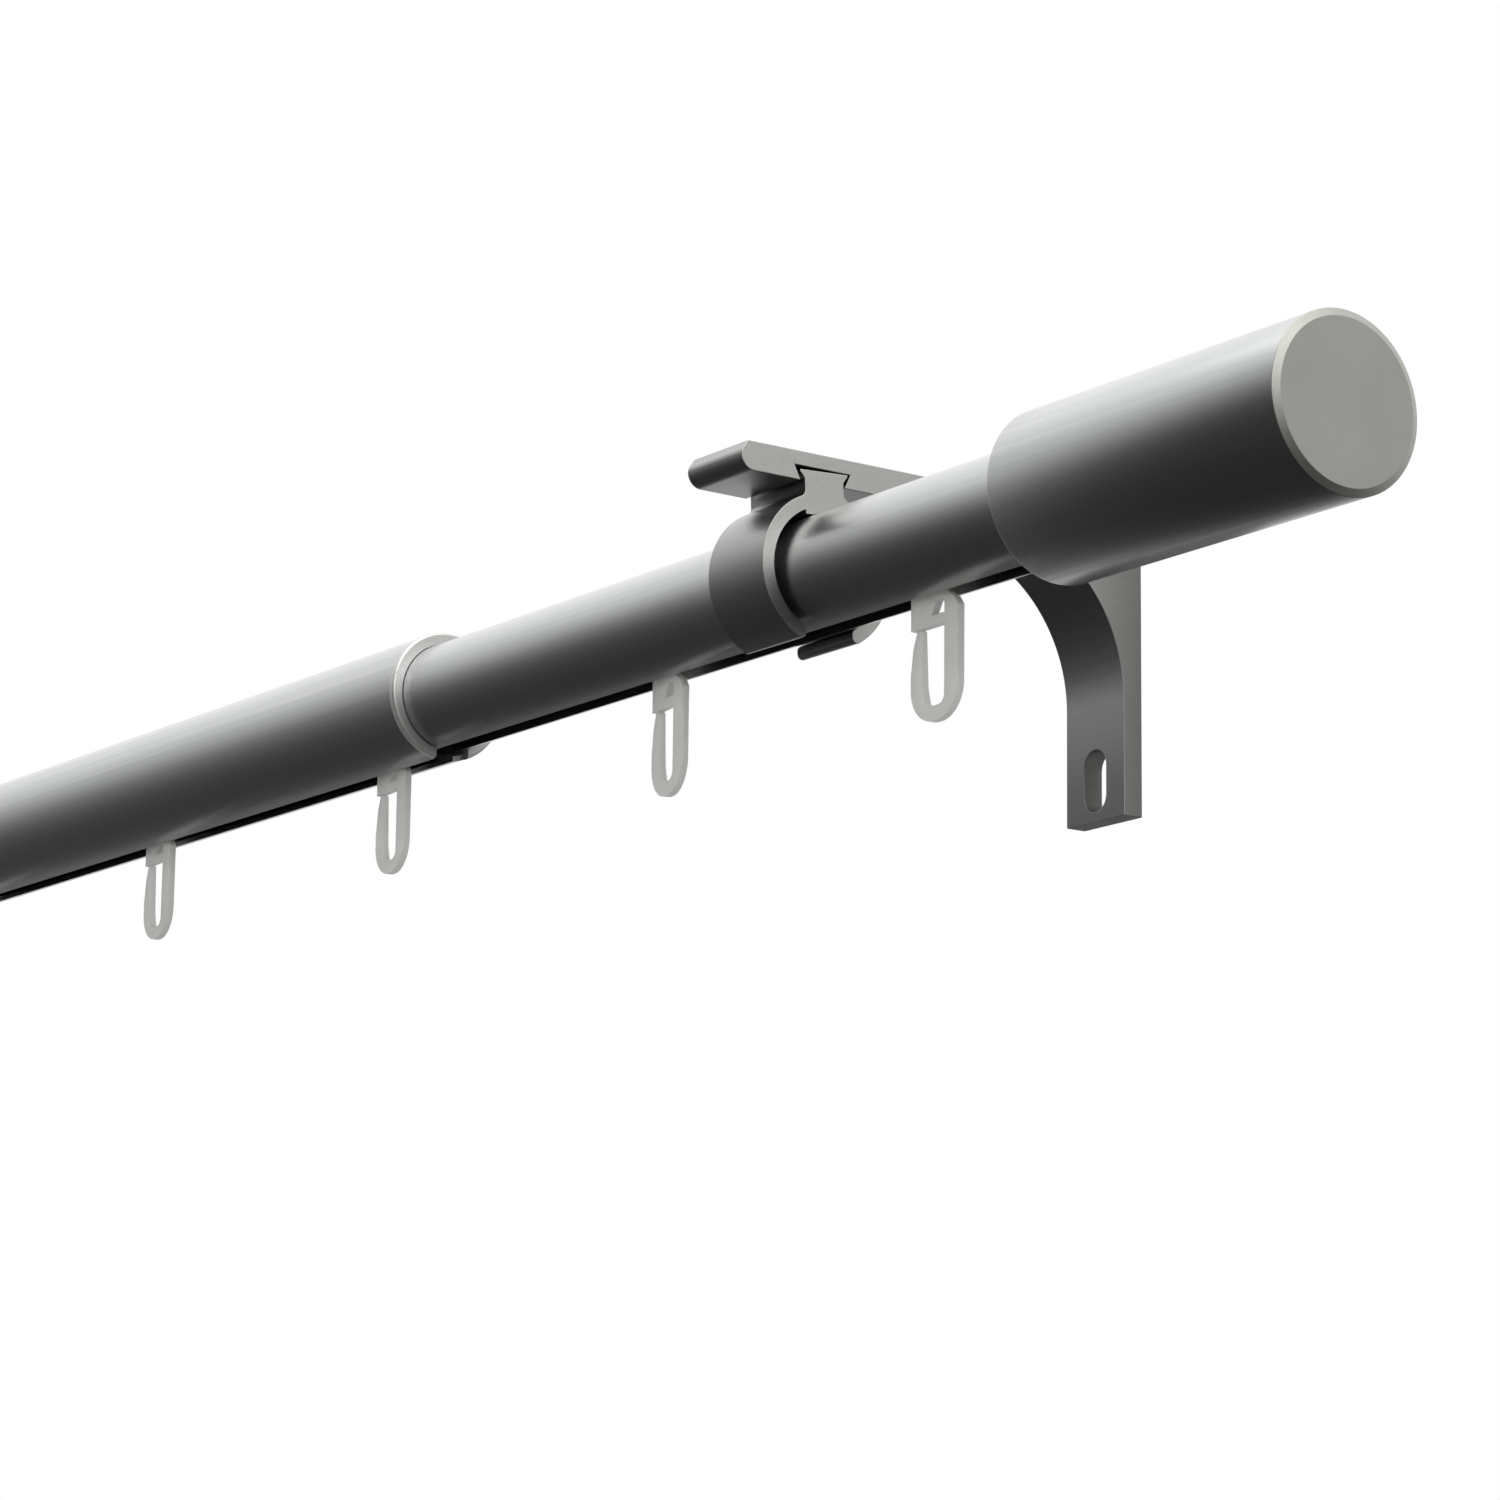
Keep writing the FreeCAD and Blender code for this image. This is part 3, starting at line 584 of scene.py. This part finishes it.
disc_plastic = grained_plastic("end_disc_plastic", dark=(0.353, 0.356, 0.329),
                               light=(0.378, 0.381, 0.353), roughness=0.4, grain=0.35 * MM,
                               depth=0.008 * MM, Metallic=1.0)
glider_plastic = grained_plastic("glider_plastic", dark=(0.68, 0.68, 0.66),
                                 light=(0.76, 0.76, 0.74), roughness=0.42, grain=0.6 * MM,
                                 depth=0.01 * MM, Transmission_Weight=0.35, IOR=1.53,
                                 Subsurface_Weight=0.6, Subsurface_Scale=2.5 * MM,
                                 Subsurface_Radius=(1.0, 0.97, 0.92))
collar_plastic = grained_plastic("collar_plastic", dark=(0.60, 0.605, 0.585),
                                 light=(0.66, 0.665, 0.645), roughness=0.42, grain=0.8 * MM,
                                 depth=0.002 * MM, Metallic=0.8, IOR=1.53)
adapter_plastic = grained_plastic("adapter_plastic", dark=(0.028, 0.028, 0.03),
                                  light=(0.04, 0.04, 0.042), roughness=0.5, grain=0.5 * MM,
                                  depth=0.01 * MM)

# %% [markdown]
# ## Dressing
# Every piece gets its finish one by one. The solids get theirs from the record's list of
# parts, so none is left bare, not even one that a piece stands for.

# %% Give every piece and solid its finish


def dress(item, material):
    """Put one material on a piece or a solid."""
    item.data.materials.clear()
    item.data.materials.append(material)


pieces_of = ((tube_metal, (right_sleeve, left_sleeve)), (section_metal, brackets + rings),
             (disc_plastic, (right_disc, left_disc)), (glider_plastic, gliders),
             (collar_plastic, (collar,)))
for material, pieces in pieces_of:
    for item in pieces:
        dress(item, material)
finish_of = {"satin_aluminium": tube_metal, "bracket_aluminium": section_metal,
             "end_disc_plastic": disc_plastic, "glider_plastic": glider_plastic,
             "collar_plastic": collar_plastic, "adapter_plastic": adapter_plastic}
for part in frame["record"]["subparts"]:
    dress(nodes[part["node"]], finish_of[part["material_slot"]])
print("materials:", len(finish_of))

# %% [markdown]
# ## Studio
# Satin metal has almost no colour of its own, so the room makes its looks. The photograph
# has a white sky that reaches down behind the rod and a dark room below, which gives the
# tubes their white tops and near-black bellies. The world is therefore white to the camera
# and through clear things. In reflections it is a sky that tilts: bright overhead, dark
# below, and a little brighter behind. A soft key stands at the right, in front, and only
# shows in faces that look that way. For soft light the world is an even fill.
#
# The sky's greys go above 1, and a colour ramp cuts them off there. So each is divided by
# the highest, and the sky's strength multiplies it back.
#
# The floor is pale to the eye but left out of reflections, which keeps the bellies dark. It
# lies far down, so that views from below still see the rod. A small patch of painted shade,
# dark grey, stands for the shaded wall a little way behind each plate. The camera doesn't
# see it, but the plate's side and the walls of the screw slot reflect it and darken.

# %% World
SKY_FILL = 0.76
SKY_TILT = (-0.25, 0.50, 1.0)
SKY_STOPS = ((-0.65, 0.035), (-0.55, 0.038), (-0.45, 0.046), (-0.35, 0.052), (-0.25, 0.075),
             (-0.15, 0.113), (-0.05, 0.182), (0.05, 0.275), (0.15, 0.41), (0.25, 0.57),
             (0.35, 0.73), (0.45, 0.89), (0.55, 1.04), (0.65, 1.14), (0.75, 1.23), (0.85, 1.32),
             (0.95, 1.38))
SKY_PEAK = SKY_STOPS[-1][1]
KEY_SIDE = Vector((0.66, -0.22, 0.72)).normalized()
KEY_EDGE = 0.62
KEY_STRENGTH = 1.7
WHITE = (1, 1, 1, 1)


def measured_along(tree, direction, way):
    """How far a direction points along a way."""
    dot = tree.nodes.new("ShaderNodeVectorMath")
    dot.operation = "DOT_PRODUCT"
    dot.inputs[1].default_value = way
    tree.links.new(direction, dot.inputs[0])
    return dot.outputs["Value"]


def choose(tree, share, first, second):
    """Mix two shaders by a share from 0 to 1."""
    mix = tree.nodes.new("ShaderNodeMixShader")
    tree.links.new(share, mix.inputs["Fac"])
    tree.links.new(first, mix.inputs[1])
    tree.links.new(second, mix.inputs[2])
    return mix.outputs[0]


def tilted_sky(tree, facing):
    """A sky whose brightness follows the height along a tilted upright."""
    height = map_range(tree, measured_along(tree, facing, SKY_TILT), -1.0, 1.0, 0, 1)
    ramp = tree.nodes.new("ShaderNodeValToRGB")
    ramp.color_ramp.interpolation = "B_SPLINE"
    # Heights run from -1 to 1 and places on the ramp from 0 to 1.
    while len(ramp.color_ramp.elements) < len(SKY_STOPS):
        ramp.color_ramp.elements.new(0.5)
    for element, (level, grey) in zip(ramp.color_ramp.elements, SKY_STOPS):
        element.position = 0.5 + level / 2
        element.color = (grey / SKY_PEAK, grey / SKY_PEAK, grey / SKY_PEAK, 1)
    tree.links.new(height, ramp.inputs["Fac"])
    sky = add_node(tree, "ShaderNodeBackground", Strength=SKY_PEAK)
    tree.links.new(ramp.outputs["Color"], sky.inputs["Color"])
    return sky.outputs[0]


def soft_key(tree, facing):
    """A panel without an edge, at the right and in front."""
    fade = add_node(tree, "ShaderNodeMapRange", From_Min=KEY_EDGE, To_Max=KEY_STRENGTH)
    fade.interpolation_type = "SMOOTHSTEP"
    tree.links.new(measured_along(tree, facing, KEY_SIDE), fade.inputs["Value"])
    key = add_node(tree, "ShaderNodeBackground", Color=WHITE)
    tree.links.new(fade.outputs["Result"], key.inputs["Strength"])
    return key.outputs[0]


def studio_world():
    """White to the camera, a tilted sky and a key in reflections, an even fill elsewhere."""
    world = bpy.data.worlds.new("studio")
    world.use_nodes = True
    tree = world.node_tree
    tree.nodes.clear()
    rays = tree.nodes.new("ShaderNodeLightPath").outputs
    facing = tree.nodes.new("ShaderNodeTexCoord").outputs["Generated"]
    mirrored = tree.nodes.new("ShaderNodeAddShader")
    tree.links.new(tilted_sky(tree, facing), mirrored.inputs[0])
    tree.links.new(soft_key(tree, facing), mirrored.inputs[1])
    fill = add_node(tree, "ShaderNodeBackground", Color=WHITE, Strength=SKY_FILL)
    backdrop = add_node(tree, "ShaderNodeBackground", Color=WHITE, Strength=1.0)
    seen = add_math(tree, "MAXIMUM", rays["Is Camera Ray"], rays["Is Transmission Ray"])
    unseen = choose(tree, rays["Is Glossy Ray"], fill.outputs[0], mirrored.outputs[0])
    surface = choose(tree, seen, unseen, backdrop.outputs[0])
    output = tree.nodes.new("ShaderNodeOutputWorld")
    tree.links.new(surface, output.inputs["Surface"])
    return world


scene.world = studio_world()
print("world:", scene.world.name, "stops:", len(SKY_STOPS))

# %% Floor and patches of painted wall shade
FLOOR_LEVEL = -5
FLOOR_SIZE = 80
FLOOR_CLOUDS = 6
SHADE_PATCH_SIZE = (70 * MM, 105 * MM)
WALL_PLACE = 14 * MM
SHADE_PATCH_CLOUDS = 40


def painted(name, dark, light, clouds):
    """Matt paint with faint clouds."""
    material, tree, shader = new_material(name, Roughness=0.9)
    paint = stretched_noise(tree, (clouds, clouds, clouds), detail=3)
    colour = mix_colours(tree, spread(tree, paint, 0, 1), dark, light)
    tree.links.new(colour, shader.inputs["Base Color"])
    return material


def flat_sheet(name, size, place, turn, paint):
    """A flat rectangle with a paint on it."""
    bpy.ops.object.select_all(action="DESELECT")
    bpy.ops.mesh.primitive_plane_add(size=1, rotation=turn, location=place)
    sheet = bpy.context.object
    sheet.name = name
    sheet.scale = (*size, 1)
    bpy.ops.object.transform_apply(location=True, rotation=True, scale=True)
    dress(sheet, paint)
    return sheet


floor_paint = painted("pale_floor", (0.80, 0.80, 0.79), (0.84, 0.84, 0.83), FLOOR_CLOUDS)
# The patches' dark grey is painted shade, standing in for the wall's shade behind each plate.
wall_shade_paint = painted("painted_wall_shade", (0.24, 0.24, 0.24), (0.28, 0.28, 0.28), SHADE_PATCH_CLOUDS)
floor = flat_sheet("floor", (FLOOR_SIZE, FLOOR_SIZE), (0, 0, FLOOR_LEVEL), (0, 0, 0), floor_paint)
floor.visible_glossy = False
# Each patch is a sheet of painted shade behind a plate, unseen by the camera.
for side in ("right", "left"):
    plate = middle_of(f"{side}_bracket")
    shade_sheet = flat_sheet(f"{side}_shade_patch", SHADE_PATCH_SIZE, (plate.x, WALL_PLACE, plate.z),
                       (math.pi / 2, 0, 0), wall_shade_paint)
    shade_sheet.visible_camera = False

# %% [markdown]
# ## Lamps
# Two large soft panels give the plastics their shape: one overhead and a little in front,
# and one at the right and in front, on the side of the key. They are weak, because the
# world already gives the metal its light.

# %% Soft panels
ROD_MIDDLE = (0, finial_middle.y, 0)


def soft_panel(name, place, aim, size, power):
    """A square area lamp at a place, turned to an aim point."""
    bpy.ops.object.select_all(action="DESELECT")
    bpy.ops.object.light_add(type="AREA", location=place)
    lamp = bpy.context.object
    lamp.name = name
    lamp.data.shape = "SQUARE"
    lamp.data.size = size
    lamp.data.energy = power
    lamp.rotation_euler = (Vector(aim) - Vector(place)).to_track_quat("-Z", "Y").to_euler()


soft_panel("top_panel", place=(-0.3, -0.5, 1.9), aim=ROD_MIDDLE, size=1.5, power=4)
soft_panel("right_panel", place=(1.5, -1.0, 1.0), aim=ROD_MIDDLE, size=1.4, power=5)
